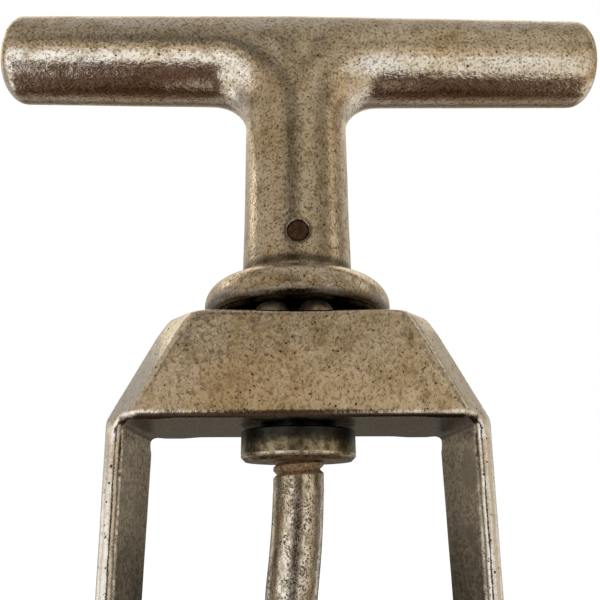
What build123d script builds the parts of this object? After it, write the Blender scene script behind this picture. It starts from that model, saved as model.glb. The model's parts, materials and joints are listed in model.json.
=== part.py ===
"""Ball-bearing frame corkscrew: a T-handle on a cross-pinned spindle, a ring of loose
balls, a screwed-in worm and a cast two-legged frame with a bottle foot.

Millimetres, +Z up, origin at the centre of the foot's bottom face, on the worm's axis.
The handle bar lies along X, and the frame's flat faces look along -Y and +Y.
"""
from build123d import *
import math
import os

# Fits and clearances
running_clearance = 0.05
fitted_clearance = 0.02
race_clearance = 0.04
end_play = 0.3
overrun = 2.0

# Frame: foot cup, legs and head
foot_ledge = 1.15
foot_height = 12.0
foot_edge_round = 1.2
foot_root_depth = 1.7
lip_seat_depth = 8.0
lip_cup_radius = 15.75
lip_cup_lead_in = 0.8
cork_hole_lead_in = 0.5
cork_hole_radius = 12.5
window_height = 60.3
leg_stand_off = 1.45
leg_thickness = 1.65
leg_foot_half_depth = 6.8
head_height = 10.7
head_half_depth = 9.6
shoulder_run = 5.75
bevel_width = 2.3
bevel_depth = 3.0
casting_round = 0.5
window_corner_round = 0.8

# Ball ring
ball_radius = 1.985
ball_pitch_radius = 7.2
ball_sink = 0.33
ball_angles = (-112.2, -75.9, -26.7, 12.5, 51.7, 90.9, 130.1, 169.3, 208.6)

# T-handle
flange_gap = 1.23
flange_radius = 10.4
flange_land_radius = 9.75
flange_rim_height = 1.37
flange_dome_height = 2.95
flange_crease_round = 0.6
stem_radius = 6.1
stem_foot_radius = 6.25
stem_flare_height = 8.0
bar_height_over_head = 35.2
bar_length = 75.0
bar_mid_radius = 5.58
bar_end_radius = 5.29
bar_dome_depth = 3.0
bar_edge_round = 2.0
blend_radius = 4.2
blend_inset = 0.03

# Spindle and cross pin
journal_radius = 4.0
spindle_top_over_head = 16.0
spindle_top_chamfer = 0.6
bore_end_space = 0.5
collar_radius = 6.1
collar_height = 3.2
collar_chamfer = 0.45
collar_top_chamfer = 0.15
socket_depth = 9.5
pin_radius = 1.19
pin_height_over_head = 9.75
pin_end_recess = 0.08
pin_end_chamfer = 0.15

# Worm: threaded end, shank, helix and point
shank_radius = 2.66
thread_turn_height = 1.1
thread_depth = 0.4
thread_runout = 1.4
thread_start_angle = 150.0
thread_groove_share = 0.7
shank_straight = 3.0
bend_length = 23.0
bend_turn_start = 9.0
bend_growth = 2.2
draw_start = 13.0
tangent_step_share = 0.01
wire_radius = 1.7
helix_radius = 2.9
worm_turn_height = 10.0
helix_start_angle = 180.0
point_length = 6.0
point_radius = 0.12
point_over_foot = 4.0
stations_per_turn = 28

# Places that follow from the sizes above
window_bottom_z = foot_height
window_top_z = window_bottom_z + window_height
head_top_z = window_top_z + head_height
leg_inner_half = lip_cup_radius + leg_stand_off
leg_outer_half = leg_inner_half + leg_thickness
foot_radius = leg_outer_half + foot_ledge
shoulder_length = math.hypot(shoulder_run, head_height)
bevel_knee_z = window_top_z - bevel_width * (shoulder_length - head_height) / shoulder_run
leg_low_z = foot_height - foot_root_depth
ball_z = head_top_z - ball_sink
flange_bottom_z = head_top_z + flange_gap
flange_rim_z = flange_bottom_z + flange_rim_height
flange_top_z = flange_rim_z + flange_dome_height
bar_z = head_top_z + bar_height_over_head
shoulder_z = bar_z - stem_radius - blend_radius
pin_z = head_top_z + pin_height_over_head
spindle_top_z = head_top_z + spindle_top_over_head
collar_top_z = window_top_z - end_play
collar_bottom_z = collar_top_z - collar_height
socket_top_z = collar_bottom_z + socket_depth
point_z = point_over_foot


def prism_y(points, half_depth):
    """A closed outline of (x, z) points, extruded to both sides of the XZ plane."""
    outline = make_face(Polyline(*[(x, 0, z) for x, z in points], close=True))
    return extrude(outline, amount=half_depth, dir=(0, 1, 0), both=True)


def prism_x(points, half_width):
    """A closed outline of (y, z) points, extruded to both sides of the YZ plane."""
    outline = make_face(Polyline(*[(0, y, z) for y, z in points], close=True))
    return extrude(outline, amount=half_width, dir=(1, 0, 0), both=True)


def upright_cylinder(radius, low_z, high_z):
    return Pos(0, 0, low_z) * Cylinder(
        radius, high_z - low_z, align=(Align.CENTER, Align.CENTER, Align.MIN)
    )


def outer_block():
    """Head and legs before bevel and window: a front view crossed with a side view."""
    top_x = leg_outer_half - shoulder_run
    half_front = [(leg_outer_half, leg_low_z), (leg_outer_half, window_top_z), (top_x, head_top_z)]
    half_side = [
        (leg_foot_half_depth, leg_low_z),
        (head_half_depth, bevel_knee_z),
        (head_half_depth, head_top_z),
    ]
    front_view = half_front + [(-x, z) for x, z in reversed(half_front)]
    side_view = half_side + [(-y, z) for y, z in reversed(half_side)]
    return prism_y(front_view, head_half_depth) & prism_x(side_view, leg_outer_half)


def bevel_cutter():
    """What the wide bevel takes off one corner: down along the leg and up along the shoulder."""
    outer_knee = Vector(leg_outer_half, head_half_depth - bevel_depth, window_top_z)
    inner_knee = Vector(leg_outer_half - bevel_width, head_half_depth, bevel_knee_z)
    corner = Vector(leg_outer_half, head_half_depth, window_top_z)
    beyond = corner * 3 - outer_knee - inner_knee
    section = make_face(Polyline(outer_knee, inner_knee, beyond, close=True))
    down = Vector(0, leg_foot_half_depth - head_half_depth, leg_low_z - bevel_knee_z)
    up = Vector(-shoulder_run, 0, head_height)
    leg_part = extrude(section, amount=down.length + overrun, dir=down)
    return leg_part + extrude(section, amount=up.length + overrun, dir=up)


def make_head_and_legs():
    """Head and legs as cast: bevelled on all four corners, open between the legs, edges rounded."""
    casting = outer_block()
    cutter = bevel_cutter()
    for cut in (cutter, mirror(cutter, about=Plane.YZ)):
        casting -= cut
        casting -= mirror(cut, about=Plane.XZ)
    half_window = [(leg_inner_half, 0), (leg_inner_half, window_top_z)]
    window = prism_y(
        half_window + [(-x, z) for x, z in reversed(half_window)],
        head_half_depth + overrun,
    )
    corners = window.edges().filter_by(Axis.Y).group_by(Axis.Z)[-1]
    casting -= fillet(corners, window_corner_round)
    return fillet(casting.edges(), casting_round)


def make_foot():
    """Round foot with the bottle lip's cup below and the cork's hole through its floor."""
    foot = upright_cylinder(foot_radius, 0, foot_height)
    foot = fillet(foot.edges().filter_by(GeomType.CIRCLE), foot_edge_round)
    foot -= upright_cylinder(lip_cup_radius, 0, lip_seat_depth)
    foot = chamfer(foot.edges().group_by(Axis.Z)[0].sort_by(SortBy.RADIUS)[0], lip_cup_lead_in)
    foot -= upright_cylinder(cork_hole_radius, 0, foot_height)
    return chamfer(foot.edges().group_by(Axis.Z)[-1].sort_by(SortBy.RADIUS)[0], cork_hole_lead_in)


def make_frame():
    bore_radius = journal_radius + running_clearance
    spindle_bore = upright_cylinder(bore_radius, window_top_z - overrun, head_top_z + overrun)
    return make_head_and_legs() + make_foot() - spindle_bore - ball_race_cut()


def ball_race_cut():
    """Groove in the head's top face: half round below the ball centres, straight above."""
    groove = ball_radius + race_clearance
    round_part = Pos(0, 0, ball_z) * Torus(ball_pitch_radius, groove)
    high_z = head_top_z + overrun
    straight_part = upright_cylinder(ball_pitch_radius + groove, ball_z, high_z)
    straight_part -= upright_cylinder(ball_pitch_radius - groove, ball_z, high_z)
    return round_part + straight_part


def make_bar():
    """Round handle bar, a little thicker in the middle, with a rounded edge and crown at each end."""
    half_length = bar_length / 2
    cone_end = half_length - bar_dome_depth
    edge_y = bar_end_radius - bar_edge_round
    crown_excess = bar_dome_depth**2 + edge_y**2 - bar_edge_round**2
    crown_radius = crown_excess / (bar_dome_depth - bar_edge_round) / 2
    meeting_angle = math.degrees(math.atan2(edge_y, crown_radius - bar_dome_depth))
    outline = [
        Polyline((0, 0), (0, bar_mid_radius), (cone_end, bar_end_radius)),
        CenterArc((cone_end, edge_y), bar_edge_round, 90, meeting_angle - 90),
        CenterArc((half_length - crown_radius, 0), crown_radius, meeting_angle, -meeting_angle),
        Line((half_length, 0), (0, 0)),
    ]
    half = revolve(make_face(outline), axis=Axis.X)
    return Pos(0, 0, bar_z) * (half + mirror(half, about=Plane.YZ))


def make_stem():
    """Flange with its domed top and rolled rim, and the stem that rises from it."""
    dome_inner = stem_foot_radius + flange_crease_round
    crease_z = flange_top_z + flange_crease_round
    flare_z = flange_top_z + stem_flare_height
    profile = [
        Line((0, flange_bottom_z), (flange_land_radius, flange_bottom_z)),
        EllipticalCenterArc(
            (flange_land_radius, flange_rim_z),
            flange_radius - flange_land_radius,
            flange_rim_height,
            start_angle=270,
            arc_size=90,
        ),
        EllipticalCenterArc(
            (dome_inner, flange_rim_z),
            flange_radius - dome_inner,
            flange_dome_height,
            start_angle=0,
            arc_size=90,
        ),
        CenterArc((dome_inner, crease_z), flange_crease_round, 270, -90),
        Polyline(
            (stem_foot_radius, crease_z),
            (stem_radius, flare_z),
            (stem_radius, shoulder_z),
            (0, shoulder_z),
            (0, flange_bottom_z),
        ),
    ]
    return revolve(Plane.XZ * make_face(profile), axis=Axis.Z)


def bar_radius_at(x):
    cone_end = bar_length / 2 - bar_dome_depth
    return bar_mid_radius + (bar_end_radius - bar_mid_radius) * x / cone_end


def make_elbow():
    """A quarter bend from the stem into the bar, whose inner side is the cast fillet."""
    bend = stem_radius + blend_radius
    path = Plane.XZ * CenterArc((bend, shoulder_z), bend, 180, -90)
    low = Plane(origin=path @ 0, z_dir=path % 0) * Circle(stem_radius - blend_inset)
    high = Plane(origin=path @ 1, z_dir=path % 1) * Circle(bar_radius_at(bend) - blend_inset)
    return sweep([low, high], path=path, multisection=True)


def handle_hollows():
    """Blind spindle bore, cross hole and the upper half of the ball race."""
    bore_top = spindle_top_z + bore_end_space
    bore = upright_cylinder(journal_radius + fitted_clearance, flange_bottom_z - overrun, bore_top)
    race = Pos(0, 0, ball_z) * Torus(ball_pitch_radius, ball_radius + race_clearance)
    return [bore, race, cross_cylinder(pin_radius + fitted_clearance, stem_foot_radius + overrun)]


def cross_cylinder(radius, half_length):
    return Pos(0, 0, pin_z) * Rot(90, 0, 0) * Cylinder(radius, half_length + half_length)


def make_handle():
    core_height = bar_z - shoulder_z
    core = Pos(0, 0, shoulder_z + core_height / 2) * Cone(stem_radius, bar_mid_radius, core_height)
    cap = Pos(0, 0, bar_z) * Sphere(bar_mid_radius)
    elbow = make_elbow()
    handle = make_stem() + core + cap
    for piece in (make_bar(), elbow, mirror(elbow, about=Plane.YZ)):
        handle += piece
    for hollow in handle_hollows():
        handle -= hollow
    return handle


def make_cross_pin():
    pin = cross_cylinder(pin_radius, stem_radius - pin_end_recess)
    return chamfer(pin.edges().filter_by(GeomType.CIRCLE), pin_end_chamfer)


def make_spindle():
    """Journal and collar turned from one bar, with the worm's socket and the pin hole."""
    journal = upright_cylinder(journal_radius, collar_top_z, spindle_top_z)
    journal = chamfer(journal.edges().group_by(Axis.Z)[-1], spindle_top_chamfer)
    collar = upright_cylinder(collar_radius, collar_bottom_z, collar_top_z)
    collar = chamfer(collar.edges().group_by(Axis.Z)[0], collar_chamfer)
    collar = chamfer(collar.edges().group_by(Axis.Z)[-1], collar_top_chamfer)
    socket = upright_cylinder(shank_radius + fitted_clearance, collar_bottom_z - overrun, socket_top_z)
    spindle = journal + collar - socket
    return spindle - cross_cylinder(pin_radius + fitted_clearance, journal_radius + overrun)


def worm_centre(depth):
    """Centre line of the worm at a depth below the collar: straight, bent out, then a helix."""
    growth = min(depth / bend_length, 1)
    offset = helix_radius * growth**bend_growth
    turn_rate = 360 / worm_turn_height
    ramp = bend_length - bend_turn_start
    past_start = max(depth - bend_turn_start, 0)
    if past_start < ramp:
        turned_by = turn_rate * past_start**2 / (ramp + ramp)
    else:
        turned_by = turn_rate * (past_start - ramp / 2)
    angle = math.radians(helix_start_angle - turned_by)
    return Vector(offset * math.cos(angle), offset * math.sin(angle), collar_bottom_z - depth)


def wire_radius_at(depth, full_depth):
    """Shank, then a smooth draw-down to the wire, then a long point."""
    along = min(max((depth - draw_start) / (bend_length - draw_start), 0), 1)
    drawn = shank_radius + (wire_radius - shank_radius) * along * along * (3 - along - along)
    from_tip = full_depth - depth
    if from_tip >= point_length:
        return drawn
    return point_radius + (wire_radius - point_radius) * math.sqrt(from_tip / point_length)


def worm_stations(full_depth):
    """Depths of the rod's cross-sections: close along the helix and at the point."""
    step = worm_turn_height / stations_per_turn
    helix_steps = round((full_depth - shank_straight) / step)
    run = full_depth - shank_straight
    return [shank_straight + run * i / helix_steps for i in range(helix_steps + 1)]


def make_threaded_end():
    """The straight top of the shank, with a vee groove that runs out just under the collar."""
    shank_top_z = socket_top_z - bore_end_space
    shank = upright_cylinder(shank_radius, collar_bottom_z - shank_straight, shank_top_z)
    shank = chamfer(shank.edges().group_by(Axis.Z)[-1], thread_depth)
    groove_low_z = collar_bottom_z - thread_runout
    groove_height = shank_top_z - thread_depth - thread_turn_height - groove_low_z
    helix = Helix(thread_turn_height, groove_height, shank_radius)
    half = thread_turn_height * thread_groove_share / 2
    root = shank_radius - thread_depth
    out = shank_radius + thread_depth
    vee = make_face(Polyline((root, 0, 0), (out, 0, half + half), (out, 0, -half - half), close=True))
    groove = sweep(vee, path=helix, is_frenet=True)
    return shank - Pos(0, 0, groove_low_z) * Rot(0, 0, thread_start_angle) * groove


def make_worm():
    full_depth = collar_bottom_z - point_z
    nudge = shank_radius * tangent_step_share
    sideways = Vector(1, 0, 0)
    sections = []
    for depth in worm_stations(full_depth):
        centre = worm_centre(depth)
        along = (worm_centre(depth + nudge) - worm_centre(depth - nudge)).normalized()
        if not sections:
            along = Vector(0, 0, -1)
            centre = Vector(0, 0, centre.Z)
        sideways = (sideways - along * sideways.dot(along)).normalized()
        place = Plane(origin=centre, x_dir=sideways, z_dir=along)
        sections.append(place * Circle(wire_radius_at(depth, full_depth)))
    return make_threaded_end() + loft(sections, ruled=True)


def make_ball(angle):
    place = Vector(ball_pitch_radius, 0, ball_z).rotate(Axis.Z, angle)
    return Pos(place) * Sphere(ball_radius)


def make_parts():
    parts = {
        "frame": make_frame(),
        "t_handle": make_handle(),
        "cross_pin": make_cross_pin(),
        "spindle": make_spindle(),
        "worm": make_worm(),
    }
    for number, angle in enumerate(ball_angles, start=1):
        parts[f"ball_{number}"] = make_ball(angle)
    return parts


os.makedirs("parts", exist_ok=True)
for name, solid in make_parts().items():
    solid.label = name
    export_step(solid, f"parts/{name}.step")
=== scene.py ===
"""Finishes of a ball-bearing frame corkscrew: worn nickel castings, a rusty pin, a mottled
collar, a pitted worm and dull brown balls, in a plain white studio.

Metres, +Z up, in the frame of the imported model. The front of the tool looks along -Y.
"""
import json
import math

import bpy
from bpy.props import FloatProperty, FloatVectorProperty, IntProperty, PointerProperty
from mathutils import Matrix, Vector, noise

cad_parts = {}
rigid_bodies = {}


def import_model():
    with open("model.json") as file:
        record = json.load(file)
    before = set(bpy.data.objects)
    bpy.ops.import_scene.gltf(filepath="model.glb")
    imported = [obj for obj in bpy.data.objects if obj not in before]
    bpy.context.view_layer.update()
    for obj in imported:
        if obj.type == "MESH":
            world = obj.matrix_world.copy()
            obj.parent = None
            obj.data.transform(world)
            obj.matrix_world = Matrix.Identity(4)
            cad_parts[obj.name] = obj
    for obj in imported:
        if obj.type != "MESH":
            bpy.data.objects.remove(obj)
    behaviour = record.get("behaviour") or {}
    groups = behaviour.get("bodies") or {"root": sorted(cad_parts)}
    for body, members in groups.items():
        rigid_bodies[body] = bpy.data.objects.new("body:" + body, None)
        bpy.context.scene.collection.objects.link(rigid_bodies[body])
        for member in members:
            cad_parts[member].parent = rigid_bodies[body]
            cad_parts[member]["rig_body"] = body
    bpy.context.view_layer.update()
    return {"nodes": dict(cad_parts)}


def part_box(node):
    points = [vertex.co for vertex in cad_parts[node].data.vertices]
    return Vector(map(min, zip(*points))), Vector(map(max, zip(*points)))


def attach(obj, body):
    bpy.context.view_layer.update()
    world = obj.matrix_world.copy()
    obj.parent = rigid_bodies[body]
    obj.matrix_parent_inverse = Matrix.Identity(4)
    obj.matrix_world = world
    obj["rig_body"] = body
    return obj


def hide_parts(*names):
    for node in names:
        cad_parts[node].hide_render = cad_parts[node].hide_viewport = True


bl_info = {
    "name": "Frame Corkscrew Finish",
    "version": (1, 0, 0),
    "blender": (4, 5, 0),
    "location": "View3D > Sidebar > Corkscrew",
    "description": "Dresses the packed corkscrew and builds its white studio",
    "category": "Object",
}

MM = 0.001

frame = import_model()


# Sizes of the castings

FLANGE_HEIGHT = 4.3 * MM
COLLAR_HEIGHT = 3.5 * MM
LEG_THICKNESS = 2.8 * MM
LEG_HALF_DEPTH_AT_FOOT = 6.8 * MM
LEG_HALF_DEPTH_GAIN = 2.8 * MM
FOOT_HEIGHT = 12 * MM
BAR_RADIUS = 5.58 * MM
WAVE_LENGTH = 4 * MM


# Places read from the frame

def top_of(node):
    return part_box(node)[1].z


def foot_of(node):
    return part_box(node)[0].z


HEAD_TOP = top_of("frame")
FLANGE_BOTTOM = foot_of("t_handle")
COLLAR_BOTTOM = foot_of("spindle")
PIN_Z = (foot_of("cross_pin") + top_of("cross_pin")) / 2
STEM_FOOT = FLANGE_BOTTOM + FLANGE_HEIGHT
WINDOW_TOP = COLLAR_BOTTOM + COLLAR_HEIGHT
LEG_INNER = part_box("frame")[1].x - LEG_THICKNESS
FOOT_TOP = foot_of("frame") + FOOT_HEIGHT
BAR_Z = top_of("t_handle") - BAR_RADIUS


# The studio, in metres where no other unit is named

SENSOR_WIDTH_MM = 36
NEAREST_SEEN = 5 * MM
FLOOR_SIZE = 8
TENT_RADIUS = 0.9
TENT_CENTRE = (0, 0, 0.09)


# Light of the surround on the object; where the surround is seen, its level is 1

SURROUND_ON_OBJECT = 1.12


# Settings that a user would change

class CastingSettings(bpy.types.PropertyGroup):
    """How the frame's and handle's cast surfaces are made."""

    frame_voxel: FloatProperty(
        name="Frame Detail", description="Edge length of the frame's surface mesh",
        default=0.3 * MM, min=0.1 * MM, max=1 * MM, unit="LENGTH",
    )
    handle_voxel: FloatProperty(
        name="Handle Detail", description="Edge length of the handle's surface mesh",
        default=0.25 * MM, min=0.1 * MM, max=1 * MM, unit="LENGTH",
    )
    waviness: FloatProperty(
        name="Casting Waviness",
        description="Depth of the slow hollows left by casting and polishing",
        default=0.035 * MM, min=0, max=0.3 * MM, unit="LENGTH",
    )
    blend_passes: IntProperty(
        name="Junction Smoothing",
        description="Smoothing passes where the bar grows out of the stem",
        default=40, min=0, max=200,
    )


class FinishSettings(bpy.types.PropertyGroup):
    """Colours of the metals."""

    nickel: FloatVectorProperty(
        name="Nickel", description="Clean nickel plate",
        subtype="COLOR", size=3, min=0, max=1, default=(0.73, 0.675, 0.60),
    )
    tarnish: FloatVectorProperty(
        name="Tarnish", description="Warm tarnish on the plate",
        subtype="COLOR", size=3, min=0, max=1, default=(0.575, 0.45, 0.283),
    )
    # Dirt in the pits; the same colour also paints the shade in the creases, under the rim and
    # inside the window.
    pits_and_shade: FloatVectorProperty(
        name="Pits", description="Dirt in the pits, in the creases and inside the window",
        subtype="COLOR", size=3, min=0, max=1, default=(0.045, 0.030, 0.016),
    )
    rust: FloatVectorProperty(
        name="Rust", description="Rust on the pin",
        subtype="COLOR", size=3, min=0, max=1, default=(0.16, 0.075, 0.035),
    )


class StudioSettings(bpy.types.PropertyGroup):
    """Camera and light."""

    lens: FloatProperty(
        name="Lens", description="Focal length in millimetres, on a 36 mm sensor",
        default=41.09, min=10, max=200,
    )
    pan: FloatProperty(
        name="Pan", description="Camera turned towards +X",
        default=math.radians(1.5), subtype="ANGLE",
    )
    tilt: FloatProperty(
        name="Tilt", description="Camera tilted upwards",
        default=math.radians(17.06), subtype="ANGLE",
    )
    roll: FloatProperty(
        name="Roll", description="Camera rolled about its own axis",
        default=math.radians(-0.485), subtype="ANGLE",
    )
    place: FloatVectorProperty(
        name="Camera Place", description="Where the camera stands",
        subtype="TRANSLATION", size=3, unit="LENGTH",
        default=(-1.637 * MM, -74.367 * MM, HEAD_TOP - 19.08 * MM),
    )
    daylight: FloatProperty(
        name="White Surround", description="Strength of the white surround",
        default=1.0, min=0, max=2,
    )


# Shader expressions

class Term:
    """A number socket that can stand in an expression: each operator adds one Math node."""

    def __init__(self, paint, socket):
        self.paint = paint
        self.socket = socket

    def math(self, operation, *others):
        node = self.paint.node("ShaderNodeMath", [self, *others], operation=operation)
        return Term(self.paint, node.outputs[0])

    def __add__(self, other):
        return self.math("ADD", other)

    def __radd__(self, other):
        return self.math("ADD", other)

    def __sub__(self, other):
        return self.math("SUBTRACT", other)

    def __rsub__(self, other):
        node = self.paint.node("ShaderNodeMath", [other, self], operation="SUBTRACT")
        return Term(self.paint, node.outputs[0])

    def __mul__(self, other):
        return self.math("MULTIPLY", other)

    def __rmul__(self, other):
        return self.math("MULTIPLY", other)

    def __abs__(self):
        return self.math("ABSOLUTE")

    def either(self, other):
        """The larger of the two."""
        return self.math("MAXIMUM", other)

    def rise(self, low, high):
        """0 below low, 1 above high, smooth between; low above high turns it round."""
        node = self.paint.node(
            "ShaderNodeMapRange", {"Value": self, "From Min": low, "From Max": high},
            interpolation_type="SMOOTHSTEP",
        )
        return Term(self.paint, node.outputs["Result"])

    def band(self, low, high, soft):
        """1 between low and high, 0 outside, each side soft wide both ways."""
        return self.rise(low - soft, low + soft) * self.rise(high + soft, high - soft)


class Paint:
    """The node tree of a material or a world, filled by expressions."""

    # Places of the Mix node's colour sockets, whose names aren't unique
    MIX_UNDER = 6
    MIX_OVER = 7
    MIX_RESULT = 2

    def __init__(self, owner):
        owner.use_nodes = True
        self.tree = owner.node_tree
        self.tree.nodes.clear()

    def node(self, kind, inputs=(), **settings):
        """Adds a node: its settings first, then its inputs, by name or in order."""
        node = self.tree.nodes.new(kind)
        for key, value in settings.items():
            setattr(node, key, value)
        pairs = inputs.items() if isinstance(inputs, dict) else enumerate(inputs)
        for key, value in pairs:
            self.feed(node.inputs[key], value)
        return node

    def feed(self, socket, value):
        """Links a term or a socket, or sets a plain value; a colour has three numbers."""
        if isinstance(value, Term):
            value = value.socket
        if isinstance(value, bpy.types.NodeSocket):
            self.tree.links.new(value, socket)
        elif socket.type == "RGBA":
            socket.default_value = (*value, 1)
        else:
            socket.default_value = value

    def place(self, stretch=(1, 1, 1)):
        """Object coordinates in millimetres, squeezed so that a texture stretches."""
        here = self.node("ShaderNodeTexCoord").outputs["Object"]
        scale = [1 / (MM * s) for s in stretch]
        return self.node("ShaderNodeVectorMath", [here, scale], operation="MULTIPLY").outputs[0]

    def axis(self, name):
        """One object coordinate in millimetres."""
        split = self.node("ShaderNodeSeparateXYZ", [self.place()])
        return Term(self, split.outputs[name])

    def noise(self, grain_mm, detail=2, roughness=0.5, stretch=(1, 1, 1), seed=0):
        """Noise whose features are about grain_mm across."""
        node = self.node(
            "ShaderNodeTexNoise",
            {
                "Vector": self.place(stretch), "W": seed, "Scale": 1 / grain_mm,
                "Detail": detail, "Roughness": roughness,
            },
            noise_dimensions="4D",
        )
        return Term(self, node.outputs["Fac"])

    def cells(self, grain_mm, seed=0):
        """Distance from scattered points, in units of grain_mm."""
        node = self.node(
            "ShaderNodeTexVoronoi", {"Vector": self.place(), "W": seed, "Scale": 1 / grain_mm},
            voronoi_dimensions="4D",
        )
        return Term(self, node.outputs["Distance"])

    def mix(self, factor, under, over):
        """Two colours, all of the second where factor is 1."""
        node = self.node("ShaderNodeMix", data_type="RGBA")
        self.feed(node.inputs["Factor"], factor)
        self.feed(node.inputs[self.MIX_UNDER], under)
        self.feed(node.inputs[self.MIX_OVER], over)
        return node.outputs[self.MIX_RESULT]

    def coats(self, colour, *coats):
        """Lays coats over a colour, the first one lowest; a coat is its mask and its colour."""
        for mask, coat in coats:
            colour = self.mix(mask, colour, coat)
        return colour

    def bump(self, height, depth_mm, under=None):
        """A normal bent by a height; under is a coarser or finer normal that it adds to."""
        node = self.node("ShaderNodeBump", {"Height": height, "Distance": depth_mm * MM})
        if under is not None:
            self.feed(node.inputs["Normal"], under)
        return node.outputs["Normal"]

    def surface(self, **inputs):
        """Ends the tree with the usual surface shader; names use _ for a space."""
        named = {name.replace("_", " "): value for name, value in inputs.items()}
        shader = self.node("ShaderNodeBsdfPrincipled", named)
        self.node("ShaderNodeOutputMaterial", {"Surface": shader.outputs[0]})

    def glow(self, colour):
        """Ends the tree with a surface that only gives off this colour."""
        shader = self.node("ShaderNodeEmission", {"Color": colour})
        self.node("ShaderNodeOutputMaterial", {"Surface": shader.outputs[0]})


def new_material(name):
    """A material and the paint that fills its tree."""
    material = bpy.data.materials.new(name)
    return material, Paint(material)


# Finishes of the metals

def worn_plate(name, tarnish_share, streak, sheen, hammer, contrast, seed, zones):
    """Old nickel plate: clouded with tarnish, finely pitted, gritty in its highlights.

    streak stretches its grain, sheen is its lowest roughness, hammer the depth of its dents and
    contrast the strength of its dull grain. zones takes the paint, the plate's colour and its
    grain, and paints the places that wear and dirt make different, and the painted shade,
    highlights and reflections.
    """
    finish = bpy.context.scene.corkscrew_finish
    material, paint = new_material(name)
    clouds = paint.noise(9, 3, 0.6, streak, seed)
    mottle = paint.noise(1.5, 4, 0.65, streak, seed + 1)
    dents = paint.noise(0.6, 2, 0.5, streak, seed + 2)
    grain = paint.noise(0.28, 3, 0.7, streak, seed + 3)
    specks = paint.noise(0.40, 4, 0.75, seed=seed + 4)
    fine_pits = paint.cells(0.62, seed + 5).rise(0.25, 0.15) * mottle.rise(0.34, 0.52)
    large_pits = paint.cells(1.5, seed + 6).rise(0.16, 0.09) * clouds.rise(0.40, 0.58)
    dirty_specks = specks.rise(0.60, 0.64) * clouds.rise(0.25, 0.5)
    darkening = fine_pits.either(large_pits).either(dirty_specks)
    warm = (clouds * 0.6 + mottle * 0.55).rise(0.62 - 0.3 * tarnish_share, 0.80)
    dull = [c * 0.30 for c in finish.tarnish]
    colour = paint.coats(
        finish.nickel,
        (warm, finish.tarnish),
        (mottle.rise(0.50, 0.72) * 0.5, dull),
        (grain.rise(0.49, 0.61) * contrast, dull),
    )
    colour = zones(paint, colour, grain)
    colour = paint.mix(darkening * 0.9, colour, finish.pits_and_shade)
    rough = sheen + mottle.rise(0.35, 0.75) * 0.08 + darkening * 0.4
    normal = paint.bump(grain, 0.030 * hammer)
    normal = paint.bump(dents, 0.04 * hammer, normal)
    normal = paint.bump(mottle, 0.02, normal)
    paint.surface(Base_Color=colour, Metallic=1, Roughness=rough, Normal=normal)
    return material


def frame_zones(paint, colour, grain):
    """Painted reflection on the bevels and painted highlight on their edge; dirt and painted
    shade inside the window.
    """
    side = paint.axis("X")
    across = abs(side)
    depth = paint.axis("Y")
    height = paint.axis("Z")
    over_window = height - WINDOW_TOP / MM
    above_foot = height.rise(FOOT_TOP / MM, FOOT_TOP / MM + 1)

    face_half_width = 16.55
    face_taper = 0.54
    taper_start = 0.6
    past_edge = across - (face_half_width - (over_window + taper_start).either(0) * face_taper)
    # The bevels are painted lighter and silvery, a painted reflection of the bright room at the
    # sides.
    bevel = past_edge.rise(-0.1, 0.5) * above_foot
    # A painted highlight along the bevel's front edge, broken up by the grain.
    edge_glint = abs(past_edge).rise(0.35, 0.05) * abs(depth).rise(8.9, 9.3)
    edge_glint = edge_glint * over_window.rise(-0.5, 0.3) * grain.rise(0.62, 0.48)

    leg_face = LEG_INNER / MM
    inside = across.rise(leg_face + 0.25, leg_face - 0.05) * over_window.rise(0.5, 0.1)
    inside = inside * above_foot
    # Inside the window: a lighter clean tone under dirt specks and blotches, and painted shade
    # that grows towards the back and over the window's top; a little darker towards +X.
    to_right = side.rise(-4, 8)
    to_back = depth.rise(-7, 4)
    underside = over_window.rise(-0.9, -0.3)
    crust = paint.noise(0.36, 5, 0.72, (1, 1.8, 1.1), 21).rise(0.46, 0.53) * 0.9
    blotch = paint.noise(2.2, 4, 0.65, (1, 3, 1.4), 22).rise(0.44, 0.62) * 0.65
    darkening = (crust * (0.7 + to_back * 0.3)).either(blotch).either(to_back * 0.5 + to_right * 0.1)
    darkening = darkening.either(underside * (to_right * 0.11 + 0.85))

    return paint.coats(
        colour,
        (bevel * 0.6, (0.74, 0.71, 0.66)),
        (edge_glint * 0.65, (0.92, 0.86, 0.76)),
        (inside * 0.8, (0.90, 0.81, 0.66)),
        (inside * darkening, bpy.context.scene.corkscrew_finish.pits_and_shade),
    )


def handle_zones(paint, colour, grain):
    """Painted shade in the crease where the stem meets its flange and under the rim, and dirt
    round the pin.
    """
    height = paint.axis("Z")
    over_rim = height - FLANGE_BOTTOM / MM
    # Painted shade: darker in the crease over the flange and under the rim, which faces down;
    # dirt round the pin.
    crease = over_rim.band(4.8, 5.9, 0.45) * 0.8
    under_rim = over_rim.rise(1.7, 0.4) * 0.95
    out_squared = (height - PIN_Z / MM).math("POWER", 2) + paint.axis("X").math("POWER", 2)
    round_pin = out_squared.rise(2.9, 2.1) * 0.7
    darkening = crease.either(under_rim).either(round_pin)
    return paint.mix(darkening, colour, bpy.context.scene.corkscrew_finish.pits_and_shade)


def rusty_steel(name):
    """Peened pin end: dark red-brown rust with a dull steel glint."""
    finish = bpy.context.scene.corkscrew_finish
    material, paint = new_material(name)
    patch = paint.noise(0.5, 4, 0.65)
    fine = paint.noise(0.14, 2, 0.5, seed=1)
    dark_rust = [c * 0.35 for c in finish.rust]
    colour = paint.coats(
        dark_rust,
        (patch.rise(0.35, 0.7), (0.12, 0.07, 0.052)),
        (fine.rise(0.6, 0.75) * 0.6, finish.pits_and_shade),
    )
    normal = paint.bump(patch + fine * 0.5, 0.05)
    paint.surface(Base_Color=colour, Metallic=0.95, Roughness=0.4 + fine * 0.25, Normal=normal)
    return material


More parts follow.
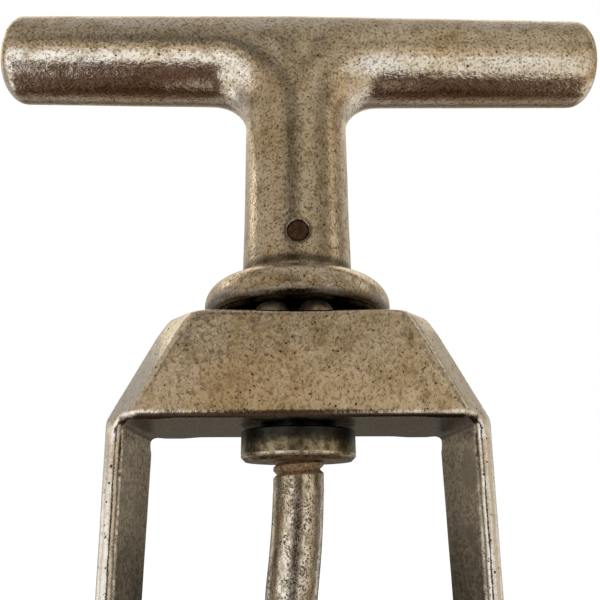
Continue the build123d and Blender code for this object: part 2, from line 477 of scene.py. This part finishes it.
def turned_collar(name):
    """Turned and plated collar: brassy mottle, painted highlights on the chamfer edges,
    near-black at its top.
    """
    finish = bpy.context.scene.corkscrew_finish
    material, paint = new_material(name)
    height = paint.axis("Z") - COLLAR_BOTTOM / MM
    blotch = paint.noise(0.8, 4, 0.65)
    fine = paint.noise(0.25, 2, 0.5, seed=1)
    rings = paint.noise(0.12, 2, 0.5, (40, 40, 1), seed=2)
    # Painted highlights along the two chamfer edges, broken up by the mottle.
    upper_edge = abs(height - 0.62).rise(0.16, 0.05)
    lower_edge = abs(height - 0.40).rise(0.12, 0.04)
    edge = upper_edge.either(lower_edge) * blotch.rise(0.42, 0.52)
    # Near-black over the top of the collar, under the frame's head, and in scattered blotches.
    near_black = (height.rise(1.0, 2.5) * 0.93).either(blotch.rise(0.6, 0.7) * 0.3)
    pits = fine.rise(0.58, 0.7)
    colour = paint.coats(
        (0.42, 0.355, 0.24),
        (blotch.rise(0.40, 0.60), (0.13, 0.11, 0.065)),
        (edge, (0.9, 0.85, 0.76)),
        (near_black, (0.022, 0.027, 0.026)),
        (pits * 0.7, finish.pits_and_shade),
    )
    normal = paint.bump(rings * 0.4 + blotch, 0.03)
    paint.surface(
        Base_Color=colour, Metallic=1 - pits * 0.5,
        Roughness=0.26 + blotch * 0.2, Normal=normal,
    )
    return material


def pitted_wire(name):
    """Worm wire: nickel streaked along its length, black pits, rust at the threaded end."""
    finish = bpy.context.scene.corkscrew_finish
    material, paint = new_material(name)
    height = paint.axis("Z") - COLLAR_BOTTOM / MM
    streak = paint.noise(0.5, 4, 0.7, (1, 1, 2.4))
    fine = paint.noise(0.20, 3, 0.65, (1, 1, 1.3), seed=1)
    blotch = paint.noise(1.6, 3, 0.6, (1, 1, 2), seed=2)
    pits = fine.rise(0.51, 0.57) * blotch.rise(0.38, 0.56)
    rust = height.rise(-1.7, -1.0) * (0.6 + streak * 0.5)
    rust_colour = paint.mix(fine.rise(0.4, 0.6), (0.06, 0.03, 0.015), (0.46, 0.25, 0.10))
    colour = paint.coats(
        (0.78, 0.70, 0.58),
        (streak.rise(0.40, 0.66), (0.30, 0.24, 0.165)),
        (pits * 0.95, finish.pits_and_shade),
        (rust, rust_colour),
    )
    normal = paint.bump(streak + fine * 0.6 - pits * 0.4, 0.025)
    paint.surface(
        Base_Color=colour, Metallic=1 - pits * 0.7 - rust * 0.5,
        Roughness=0.16 + streak * 0.10 + pits * 0.3 + rust * 0.2, Normal=normal,
    )
    return material


def ball_steel(name):
    """Bearing ball: brown, greasy and dull."""
    material, paint = new_material(name)
    blotch = paint.noise(0.9, 3, 0.6)
    colour = paint.mix(blotch.rise(0.4, 0.65), (0.46, 0.38, 0.28), (0.15, 0.11, 0.08))
    normal = paint.bump(paint.noise(0.3, 2, 0.5, seed=1), 0.02)
    paint.surface(Base_Color=colour, Metallic=0.9, Roughness=0.34 + blotch * 0.2, Normal=normal)
    return material


# Meshes of the castings

def ramp(value, low, high):
    """0 at low, 1 at high, straight between; low may lie above high."""
    return min(max((value - low) / (high - low), 0), 1)


def baked_mesh(piece):
    """The piece's mesh with its modifiers applied; the modifiers are removed."""
    evaluated = piece.evaluated_get(bpy.context.evaluated_depsgraph_get())
    mesh = bpy.data.meshes.new_from_object(evaluated)
    piece.modifiers.clear()
    piece.data = mesh
    return mesh


def cast_copy(node, name, voxel, passes, softness, waviness, shift):
    """A copy of a node with an even mesh, smoothed by its softness, and slightly wavy.

    softness takes a place and gives how much of the smoothing it gets. shift takes a place and
    its normal and gives how far the surface is moved there, to make good what the smoothing took
    off and what the casting has out of true.
    """
    piece = bpy.data.objects.new(name, frame["nodes"][node].data.copy())
    bpy.context.scene.collection.objects.link(piece)
    remesh = piece.modifiers.new("even", "REMESH")
    remesh.mode = "VOXEL"
    remesh.voxel_size = voxel
    remesh.use_smooth_shade = True
    mesh = baked_mesh(piece)
    group = piece.vertex_groups.new(name="soft")
    for vertex in mesh.vertices:
        group.add([vertex.index], softness(vertex.co), "REPLACE")
    smooth = piece.modifiers.new("soft", "SMOOTH")
    smooth.factor = 0.5
    smooth.iterations = passes
    smooth.vertex_group = group.name
    mesh = baked_mesh(piece)
    piece.vertex_groups.clear()
    normals = [vertex.normal.copy() for vertex in mesh.vertices]
    for vertex, normal in zip(mesh.vertices, normals):
        swell = (noise.noise(vertex.co / WAVE_LENGTH) - 1) * waviness / 2
        vertex.co += normal * swell + shift(vertex.co, normal)
    mesh.shade_smooth()
    mesh.materials.clear()
    return piece


def frame_softness(co):
    """Strong on the shoulders' top corners and the legs' inner front edges, faint elsewhere."""
    on_head, on_lower_edge, on_leg, on_leg_edge = 0.022, 0.07, 0.13, 0.9
    on_shoulder = 0.8 if co.x < 0 else 0.55
    shoulder = 12.2 * MM
    shoulder_reach = 3 * MM
    bevel = 0.85 * MM
    from_shoulder = math.hypot(abs(co.x) - shoulder, (co.z - HEAD_TOP) * 0.8)
    if co.z > WINDOW_TOP + 1.5 * MM:
        return max(on_head, on_shoulder * (1 - from_shoulder / shoulder_reach))
    if co.z > WINDOW_TOP - 1 * MM:
        return on_lower_edge
    half_depth = LEG_HALF_DEPTH_AT_FOOT + LEG_HALF_DEPTH_GAIN * ramp(co.z, FOOT_TOP, WINDOW_TOP)
    from_edge = math.hypot(abs(co.x) - LEG_INNER, -co.y - (half_depth - bevel))
    return max(on_leg, on_leg_edge * ramp(from_edge, 2.5 * MM, 1.4 * MM))


def frame_shift(co, normal):
    """Legs and flanks get back what the smoothing took; the legs' inner rear edges lean in."""
    leg_gain = 0.18 * MM
    flank_gain = 0.13 * MM
    rear_lean = 0.22 * MM
    under_head = ramp(co.z, WINDOW_TOP - 0.5 * MM, WINDOW_TOP - 2 * MM)
    on_leg = under_head * ramp(co.z, FOOT_TOP + 0.5 * MM, FOOT_TOP + 3 * MM)
    flank = ramp(abs(co.x), 11.5 * MM, 13.5 * MM) * ramp(co.z, HEAD_TOP, HEAD_TOP - 2 * MM)
    flank *= ramp(co.z, FOOT_TOP, FOOT_TOP + MM)
    inner = on_leg * ramp(abs(co.x), LEG_INNER + 1 * MM, LEG_INNER + 0.3 * MM)
    inward = rear_lean * inner * ramp(co.y, 2 * MM, 8 * MM)
    grown = max(leg_gain * on_leg * ramp(co.y, -6 * MM, -2 * MM), flank_gain * flank)
    return normal * grown - Vector((math.copysign(inward, co.x), 0, 0))


def handle_softness(co):
    """Full where bar and stem flow together, faint on the rest, none on the bar's right."""
    on_flange, on_pin_seat, on_left_bar, on_right_bar, on_junction = 0.1, 0.06, 0.25, 0.0, 1.0
    rim = 8.3 * MM
    pin_seat = 2.6 * MM
    elbow = 16 * MM
    out = math.hypot(co.x, co.y)
    if co.z < STEM_FOOT - 1.6 * MM or (co.z < STEM_FOOT + 2 * MM and out > rim):
        return on_flange
    if math.hypot(co.x, co.z - PIN_Z) < pin_seat:
        return on_pin_seat
    if abs(co.x) > elbow:
        return on_right_bar if co.x > 0 else on_left_bar
    return on_junction


def handle_shift(co, normal):
    """Cuts the left end back, most at its top, and fills the stem and the right end's corners."""
    stem_gain = 0.05 * MM
    least_cut, more_at_top = 0.68, 1.1
    least_fill, more_below = 0.35, 0.4
    high = co.z - BAR_Z
    left_end = ramp(co.x, -30 * MM, -37 * MM)
    cut_back = left_end * (least_cut + more_at_top * ramp(high, -4 * MM, 4.5 * MM)) * MM
    right_end = ramp(co.x, 33 * MM, 35 * MM) * ramp(math.hypot(co.y, high), 2 * MM, 4.2 * MM)
    fuller = right_end * (least_fill + more_below * ramp(high, 2 * MM, -4 * MM)) * MM
    stem = ramp(co.z, STEM_FOOT, STEM_FOOT + 3 * MM)
    stem *= ramp(co.z, BAR_Z - 4 * MM, BAR_Z - 8 * MM)
    return normal * (stem_gain * stem) + Vector((cut_back + fuller, 0, 0))


def dress(piece, node, material):
    """The piece stands for the node, rides on the node's body and takes its finish."""
    piece.data.materials.append(material)
    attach(piece, frame["nodes"][node]["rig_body"])
    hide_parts(node)


def finish_node(node, material):
    """The node's own mesh takes the finish."""
    data = frame["nodes"][node].data
    data.materials.clear()
    data.materials.append(material)


# Operators, one for each piece or group of like pieces

class CORKSCREW_OT_frame(bpy.types.Operator):
    """Dress the cast frame: head, legs and bottle foot"""

    bl_idname = "corkscrew.frame"
    bl_label = "Frame"

    def execute(self, context):
        settings = context.scene.corkscrew_casting
        smoothing_passes = 80
        piece = cast_copy(
            "frame", "frame_casting", settings.frame_voxel, smoothing_passes,
            frame_softness, settings.waviness, frame_shift,
        )
        material = worn_plate(
            "frame_plate", tarnish_share=0.9, streak=(1, 1, 1.4), sheen=0.18, hammer=1.0,
            contrast=0.62, seed=3, zones=frame_zones,
        )
        dress(piece, "frame", material)
        return {"FINISHED"}


class CORKSCREW_OT_handle(bpy.types.Operator):
    """Dress the cast T-handle: bar, stem and flange in one flowing form"""

    bl_idname = "corkscrew.handle"
    bl_label = "T-Handle"

    def execute(self, context):
        settings = context.scene.corkscrew_casting
        piece = cast_copy(
            "t_handle", "t_handle_casting", settings.handle_voxel, settings.blend_passes,
            handle_softness, settings.waviness, handle_shift,
        )
        material = worn_plate(
            "handle_plate", tarnish_share=0.7, streak=(1.2, 1, 1.2), sheen=0.08, hammer=1.3,
            contrast=0.75, seed=11, zones=handle_zones,
        )
        dress(piece, "t_handle", material)
        return {"FINISHED"}


class CORKSCREW_OT_pin(bpy.types.Operator):
    """Finish the rusty cross pin"""

    bl_idname = "corkscrew.pin"
    bl_label = "Cross Pin"

    def execute(self, context):
        finish_node("cross_pin", rusty_steel("pin_steel"))
        return {"FINISHED"}


class CORKSCREW_OT_spindle(bpy.types.Operator):
    """Finish the turned spindle and its mottled collar"""

    bl_idname = "corkscrew.spindle"
    bl_label = "Spindle"

    def execute(self, context):
        finish_node("spindle", turned_collar("spindle_steel"))
        return {"FINISHED"}


class CORKSCREW_OT_worm(bpy.types.Operator):
    """Finish the worm: threaded end, shank, helix and point of one drawn wire"""

    bl_idname = "corkscrew.worm"
    bl_label = "Worm"

    def execute(self, context):
        finish_node("worm", pitted_wire("worm_steel"))
        return {"FINISHED"}


class CORKSCREW_OT_balls(bpy.types.Operator):
    """Finish the ring of loose balls"""

    bl_idname = "corkscrew.balls"
    bl_label = "Balls"

    def execute(self, context):
        material = ball_steel("ball_steel")
        for node in frame["nodes"]:
            if node.startswith("ball_"):
                finish_node(node, material)
        return {"FINISHED"}


# Studio

def stage_sheet(name, corners, face, material):
    """A flat piece of the stage; face names its corners in order round it."""
    mesh = bpy.data.meshes.new(name)
    mesh.from_pydata(corners, [], [face])
    mesh.materials.append(material)
    sheet = bpy.data.objects.new(name, mesh)
    bpy.context.scene.collection.objects.link(sheet)
    return sheet


def make_floor():
    """A matt white floor that the metal doesn't mirror."""
    material, paint = new_material("white_floor")
    paint.surface(Base_Color=(0.93, 0.93, 0.93), Roughness=0.9, Specular_IOR_Level=0)
    half = FLOOR_SIZE / 2
    corners = [(-half, -half, 0), (half, -half, 0), (half, half, 0), (-half, half, 0)]
    floor = stage_sheet("floor", corners, (0, 1, 2, 3), material)
    floor.visible_glossy = False


def back_room(paint, height):
    """The room behind the tool: bright high up, dim at eye level, pale under it, dark below."""
    return paint.coats(
        (0.10, 0.085, 0.065),
        (height.rise(-7, -1), (0.26, 0.22, 0.165)),
        (height.rise(2, 22), (0.58, 0.52, 0.43)),
        (height.band(32, 62, 6), (1.1, 0.98, 0.79)),
        (height.rise(-14, -19), (0.42, 0.38, 0.33)),
        (height.rise(-33, -40), (0.13, 0.075, 0.045)),
        (height.rise(-54, -62), (0.05, 0.02, 0.014)),
    )


def tent_material():
    """The room that the metal mirrors, seen from the tent's centre.

    height is in degrees over the horizon. facing is in degrees too: 0 in front of the tool, 90
    towards +X and -90 towards -X. turn is facing without its sign.
    """
    material, paint = new_material("studio_tent")
    here = paint.node("ShaderNodeTexCoord").outputs["Object"]
    unit = paint.node("ShaderNodeVectorMath", [here], operation="NORMALIZE").outputs[0]
    split = paint.node("ShaderNodeSeparateXYZ", [unit])
    side, back, up = (Term(paint, split.outputs[a]) for a in "XYZ")
    degrees = 180 / math.pi
    height = up.math("ARCSINE") * degrees
    facing = side.math("ARCTAN2", 0 - back) * degrees
    turn = abs(facing)
    right = side.rise(0.02, 0.12)

    left_wall = facing.band(-112, -30, 8) * height.band(16, 48, 6)
    ceiling = height.rise(55, 72)
    right_sill = turn.rise(45, 35) * height.band(22, 62, 6) * right
    behind = turn.rise(112, 128)
    strips = facing.band(-119, -106, 3).either(facing.band(80, 92, 4) * 0.45)
    strips = strips * height.band(12, 60, 8)
    far_corners = turn.band(112, 146, 6) * height.band(-22, 18, 3)

    in_front = turn.rise(126, 116)
    table_drop = 24
    over_table = height + table_drop - facing.band(-40, 4, 4) * table_drop
    lower_sill = turn.rise(30, 24) * (side * 10 + 7)
    window = in_front * (height + lower_sill).rise(2.5, -1.5) * over_table.rise(-36, -27)
    shade = (turn.band(50, 106, 5) * right * 0.8).either(facing.band(-98, -70, 5) * 0.55)
    window_colour = paint.mix(right, (1.32, 1.35, 1.38), (1.08, 1.09, 1.08))
    dark_table = (in_front * over_table.rise(-27, -36)).either(height.rise(-76, -82))
    lit_corner = facing.rise(5, 12) * turn.rise(60, 45) * height.band(7.2, 10.4, 1.4)
    dark_patch = abs(facing + 10).rise(16, 9) * height.rise(14, 20) * height.rise(41, 33)

    colour = paint.coats(
        (0.67, 0.55, 0.385),
        (height.rise(7, 16), (0.36, 0.31, 0.24)),
        (left_wall, (0.50, 0.42, 0.315)),
        (ceiling, (0.50, 0.47, 0.42)),
        (right_sill * 0.9, (0.60, 0.53, 0.41)),
        (behind, back_room(paint, height)),
        (strips, (1.8, 1.6, 1.3)),
        (far_corners, (0.72, 0.69, 0.64)),
        (window * (1 - shade), window_colour),
        (dark_table, (0.16, 0.10, 0.078)),
        (lit_corner, (1.0, 0.87, 0.68)),
        (dark_patch * 0.7, (0.08, 0.07, 0.06)),
    )
    paint.glow(colour)
    return material


def seen_only_in_metal(piece):
    """Leaves the piece in reflections alone."""
    piece.visible_camera = False
    piece.visible_diffuse = False
    piece.visible_shadow = False
    piece.visible_transmission = False
    piece.visible_volume_scatter = False


def make_tent():
    """A sphere round tool and camera that carries the room in the reflections."""
    bpy.ops.mesh.primitive_uv_sphere_add(
        segments=64, ring_count=32, radius=TENT_RADIUS, location=TENT_CENTRE,
    )
    tent = bpy.context.object
    tent.name = "studio_tent"
    tent.data.materials.append(tent_material())
    seen_only_in_metal(tent)


def make_card(name, x, y, z, colour):
    """A glowing card that only the metal mirrors.

    Two of x, y and z are the card's spans in millimetres, and the third holds its one place.
    """
    material, paint = new_material(name)
    paint.glow(colour)
    corners = [(a * MM, b * MM, c * MM) for a in x for b in y for c in z]
    seen_only_in_metal(stage_sheet(name, corners, (0, 1, 3, 2), material))


def make_cards():
    """The camera's own dark body and a dim wall beside the bar's left end."""
    make_card("camera_body", (-14, 13), (-40,), (20, 72), (0.06, 0.048, 0.042))
    make_card("left_wall", (-70,), (-10, 70), (86, 120), (0.50, 0.47, 0.43))


def make_world(strength):
    """A white surround, just white where it is seen and a little stronger on the object."""
    world = bpy.data.worlds.new("white_surround")
    bpy.context.scene.world = world
    paint = Paint(world)
    path = paint.node("ShaderNodeLightPath").outputs
    seen = Term(paint, path["Is Camera Ray"]).either(Term(paint, path["Is Glossy Ray"]))
    seen = seen.either(Term(paint, path["Is Transmission Ray"]))
    level = (seen * (1 - SURROUND_ON_OBJECT) + SURROUND_ON_OBJECT) * strength
    back = paint.node("ShaderNodeBackground", {"Color": (1, 1, 1), "Strength": level})
    paint.node("ShaderNodeOutputWorld", {"Surface": back.outputs[0]})


def make_lamp(name, place, target, size, brightness):
    """A soft rectangular lamp aimed at a point; its brightness doesn't depend on its size."""
    light = bpy.data.lights.new(name, "AREA")
    light.shape = "RECTANGLE"
    light.size, light.size_y = size
    light.energy = brightness * math.pi * size[0] * size[1]
    lamp = bpy.data.objects.new(name, light)
    lamp.location = place
    lamp.rotation_euler = (Vector(target) - Vector(place)).to_track_quat("-Z", "Y").to_euler()
    lamp.visible_camera = False
    lamp.visible_glossy = False
    bpy.context.scene.collection.objects.link(lamp)


def make_camera(settings):
    """A camera that looks along +Y, then is turned by the pan, tilt and roll of the settings."""
    data = bpy.data.cameras.new("camera")
    data.sensor_width = SENSOR_WIDTH_MM
    data.lens = settings.lens
    data.clip_start = NEAREST_SEEN
    camera = bpy.data.objects.new("camera", data)
    tilted = Matrix.Rotation(math.pi / 2 + settings.tilt, 4, "X")
    turned = Matrix.Rotation(-settings.pan, 4, "Z") @ tilted
    rolled = Matrix.Rotation(settings.roll, 4, "Z")
    camera.matrix_world = Matrix.Translation(settings.place) @ turned @ rolled
    bpy.context.scene.collection.objects.link(camera)
    bpy.context.scene.camera = camera


class CORKSCREW_OT_stage(bpy.types.Operator):
    """Build the white studio: floor, surround, lamp and camera"""

    bl_idname = "corkscrew.stage"
    bl_label = "Studio"

    def execute(self, context):
        settings = context.scene.corkscrew_studio
        context.scene.view_settings.view_transform = "Standard"
        make_floor()
        make_tent()
        make_cards()
        make_world(settings.daylight)
        make_lamp(
            "high_soft", place=(-0.25, -0.25, 0.55), target=(0, 0, 0.08), size=(0.4, 0.4),
            brightness=0.5,
        )
        make_camera(settings)
        return {"FINISHED"}


class CORKSCREW_PT_panel(bpy.types.Panel):
    """Corkscrew finish in the sidebar"""

    bl_idname = "CORKSCREW_PT_panel"
    bl_label = "Corkscrew"
    bl_space_type = "VIEW_3D"
    bl_region_type = "UI"
    bl_category = "Corkscrew"

    def draw(self, context):
        for owner in SETTINGS:
            settings = getattr(context.scene, owner)
            box = self.layout.box()
            for name in settings.__annotations__:
                box.prop(settings, name)
        for operator in OPERATORS:
            self.layout.operator(operator.bl_idname)


SETTINGS = {
    "corkscrew_casting": CastingSettings,
    "corkscrew_finish": FinishSettings,
    "corkscrew_studio": StudioSettings,
}
OPERATORS = (
    CORKSCREW_OT_frame, CORKSCREW_OT_handle, CORKSCREW_OT_pin, CORKSCREW_OT_spindle,
    CORKSCREW_OT_worm, CORKSCREW_OT_balls, CORKSCREW_OT_stage,
)
CLASSES = (*SETTINGS.values(), *OPERATORS, CORKSCREW_PT_panel)


def register():
    for cls in CLASSES:
        bpy.utils.register_class(cls)
    for owner, group in SETTINGS.items():
        setattr(bpy.types.Scene, owner, PointerProperty(type=group))


def unregister():
    for owner in SETTINGS:
        delattr(bpy.types.Scene, owner)
    for cls in reversed(CLASSES):
        bpy.utils.unregister_class(cls)


def main():
    register()
    for name in ("frame", "handle", "pin", "spindle", "worm", "balls", "stage"):
        getattr(bpy.ops.corkscrew, name)()


if __name__ == "__main__":
    main()
